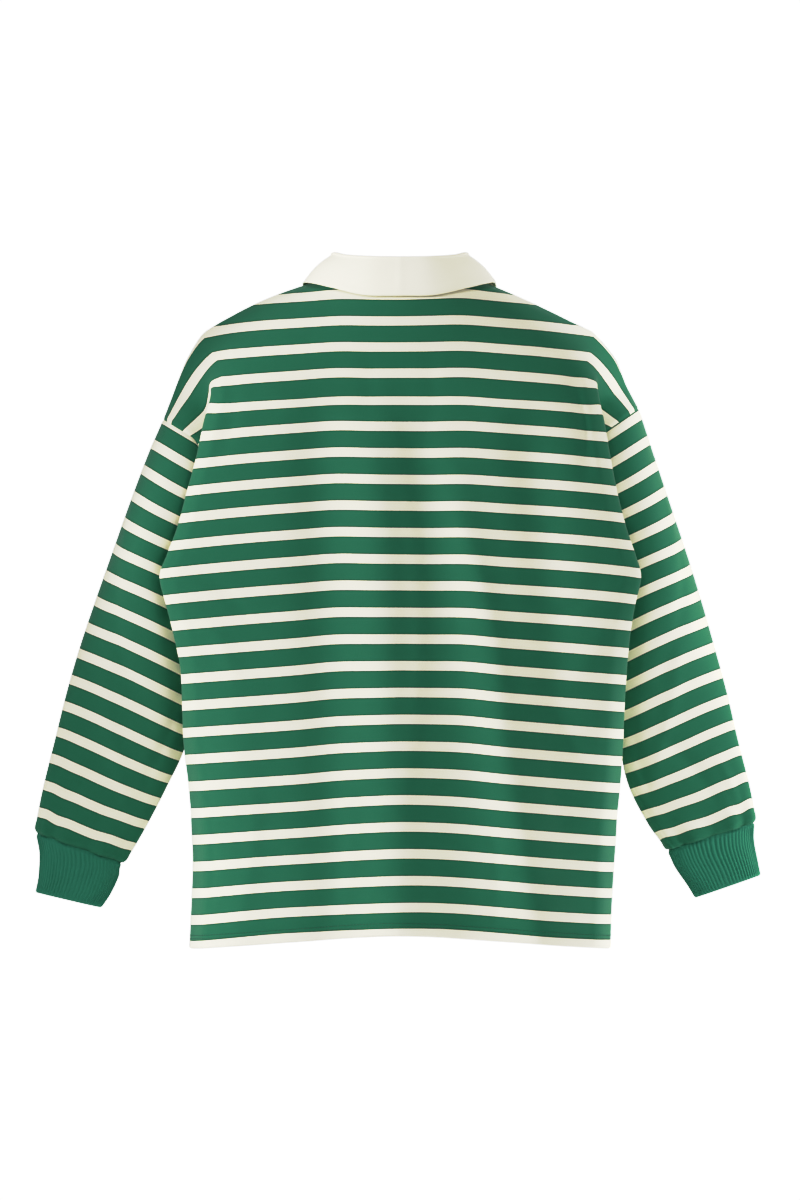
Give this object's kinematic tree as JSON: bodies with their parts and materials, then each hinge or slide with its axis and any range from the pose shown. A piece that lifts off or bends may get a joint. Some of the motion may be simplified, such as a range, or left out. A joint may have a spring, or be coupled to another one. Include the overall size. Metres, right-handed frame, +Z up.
{
  "type": "rugby shirt",
  "caption": "Long-sleeved striped rugby shirt with a turned-down collar, buttoned placket and ribbed cuffs, hollow and open in its worn shape.",
  "frame": {"origin": "midway between the high points of the two shoulders, at their level, where the worn or hung shirt is carried", "axes": "+Z is up, +Y points out of the back, +X points to the wearer's left sleeve"},
  "size_m": [0.7713, 0.2275, 0.7439],
  "materials": {
    "striped_jersey": "matte cotton jersey, level stripes 18 mm bottle green and 10 mm off-white, knitted in",
    "rib_jersey": "matte bottle green cotton rib, folded double",
    "collar_cotton": "matte off-white cotton twill",
    "placket_cotton": "matte off-white cotton twill, top-stitched",
    "button": "off-white rubber-like plastic, satin"
  },
  "bodies": {
    "root": {"back_panel": "striped_jersey", "front_panel": "striped_jersey", "sleeve_left": "striped_jersey", "sleeve_right": "striped_jersey", "cuff_left": "rib_jersey", "cuff_right": "rib_jersey", "collar": "collar_cotton", "placket_under": "placket_cotton", "placket_upper": "placket_cotton", "button_top": "button", "button_middle": "button", "button_lower": "button"}
  },
  "joints": []
}
